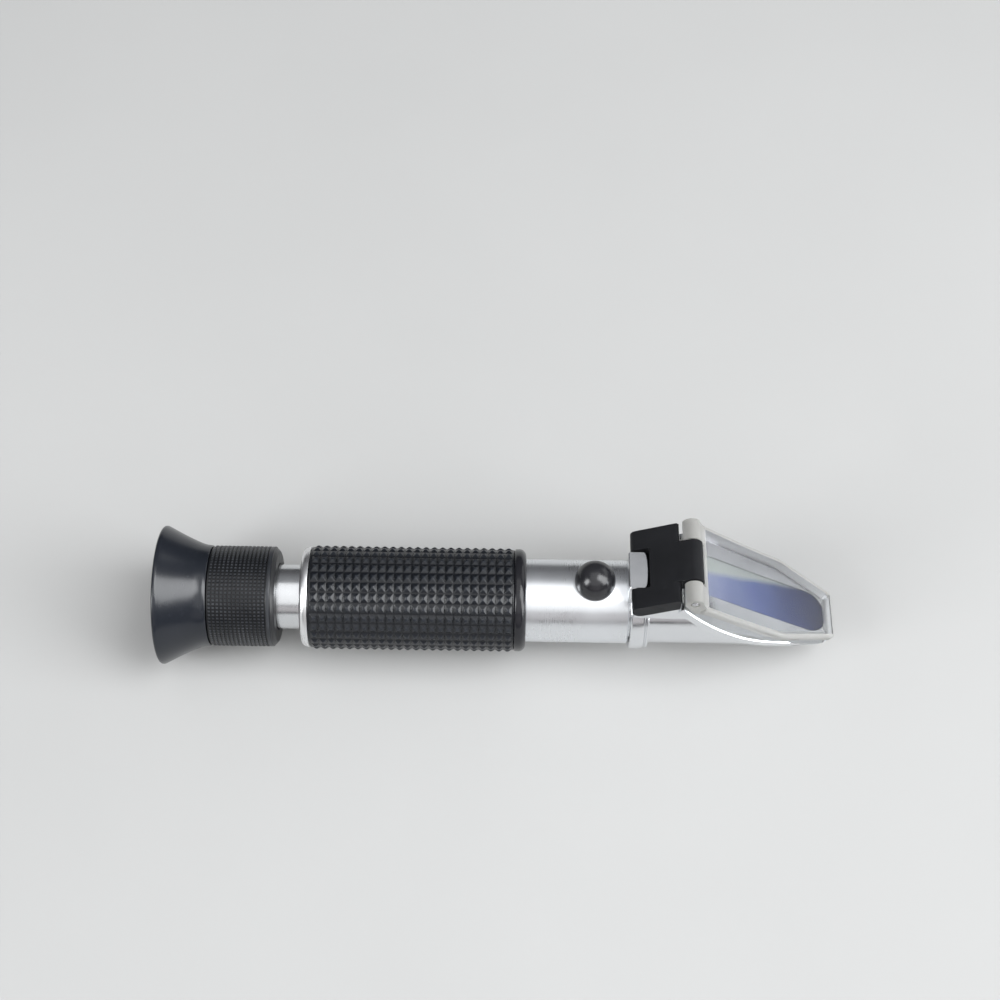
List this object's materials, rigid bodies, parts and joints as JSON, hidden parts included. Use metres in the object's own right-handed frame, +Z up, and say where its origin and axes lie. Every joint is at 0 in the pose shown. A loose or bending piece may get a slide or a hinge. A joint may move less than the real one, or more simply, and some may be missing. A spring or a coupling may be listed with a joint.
{
  "type": "refractometer",
  "caption": "Handheld refractometer: flared eyecup, knurled focus ring, ribbed rubber grip, chrome tube with adjuster cap, slanted prism under a hinged clear daylight plate.",
  "frame": {"origin": "on the ground under the middle of the instrument's length, at the middle of its width, when it lies level with the eyecup rim touching the ground", "axes": "+X along the optical axis from the eyecup to the daylight plate, +Z up through the plate's hinge, +Y to the left for someone looking into the eyepiece"},
  "size_m": [0.1682, 0.0344, 0.0407],
  "materials": {
    "eyecup_rubber": "matte soft-touch rubber, blue-black",
    "grip_rubber": "semi-gloss moulded rubber with a pyramid pattern",
    "cap_rubber": "glossy black rubber",
    "black_metal": "satin black anodised or painted metal",
    "gloss_black": "gloss black ring",
    "chrome": "satin to bright chrome plating with fine turning marks",
    "inner_aluminium": "plain turned aluminium",
    "glass": "clear coated optical glass",
    "prism_glass": "polished optical glass, blue-looking",
    "plate_acrylic": "translucent acrylic, frosted middle and polished edges",
    "steel": "bright steel",
    "brass": "turned brass",
    "seal_rubber": "matte black seal rubber"
  },
  "bodies": {
    "instrument": {"eyepiece_tube": "chrome", "barrel_key_screw": "steel", "grip_collar": "chrome", "rubber_grip": "grip_rubber", "grip_end_ring": "gloss_black", "body_tube": "chrome", "field_stop": "black_metal", "reticle_holder": "inner_aluminium", "reticle": "glass", "reticle_retaining_ring": "black_metal", "light_baffle": "black_metal", "compensator_ring": "inner_aluminium", "strip_clamp_block": "inner_aluminium", "bimetal_strip": "brass", "bimetal_screw": "steel", "return_spring": "steel", "prism_housing": "chrome", "measuring_prism": "prism_glass", "prism_seal": "seal_rubber", "housing_o_ring": "seal_rubber", "hinge_bracket": "black_metal", "hinge_pin": "steel", "bracket_screw": "steel", "bracket_dowel_left": "steel", "bracket_dowel_right": "steel"},
    "lens_cell": {"eyepiece_barrel": "inner_aluminium", "eye_lens": "glass", "lens_retaining_ring": "black_metal", "lens_spacer": "black_metal", "field_lens": "glass", "barrel_o_ring": "seal_rubber"},
    "focus": {"focus_ring": "black_metal", "eyecup": "eyecup_rubber"},
    "plate": {"daylight_plate": "plate_acrylic"},
    "cap": {"calibration_cap": "cap_rubber"},
    "adjuster": {"objective_carriage": "inner_aluminium", "objective_lens": "glass"},
    "adjuster_screw": {"calibration_screw": "brass"}
  },
  "joints": [
    {"name": "plate_hinge", "type": "hinge", "parent": "instrument", "child": "plate", "pos_m": [0.04599, 0, 0.03825], "axis": [0, -1, 0], "range_deg": [0, 135]},
    {"name": "eyepiece_slide", "type": "slide", "parent": "instrument", "child": "lens_cell", "axis": [1, 0, 0], "range_m": [-0.0031, 0.0031]},
    {"name": "focus_turn", "type": "hinge", "parent": "lens_cell", "child": "focus", "pos_m": [-0.06411, 0, 0.01725], "axis": [1, 0, 0], "range_deg": [-180, 180]},
    {"name": "cap_pull", "type": "slide", "parent": "instrument", "child": "cap", "axis": [0, 0, 1], "range_m": [0, 0.015]},
    {"name": "adjuster_shift", "type": "slide", "parent": "instrument", "child": "adjuster", "axis": [0, 0, 1], "range_m": [-0.000375, 0.000375]},
    {"name": "calibration_turn", "type": "hinge", "parent": "adjuster", "child": "adjuster_screw", "pos_m": [0.02309, 0, 0.02725], "axis": [0, 0, 1], "range_deg": [-271, 271]}
  ],
  "couplings": [
    {"joint": "eyepiece_slide", "follows": "focus_turn", "m_per_rad": 0.0009549},
    {"joint": "calibration_turn", "follows": "adjuster_shift", "rad_per_m": 12566}
  ]
}
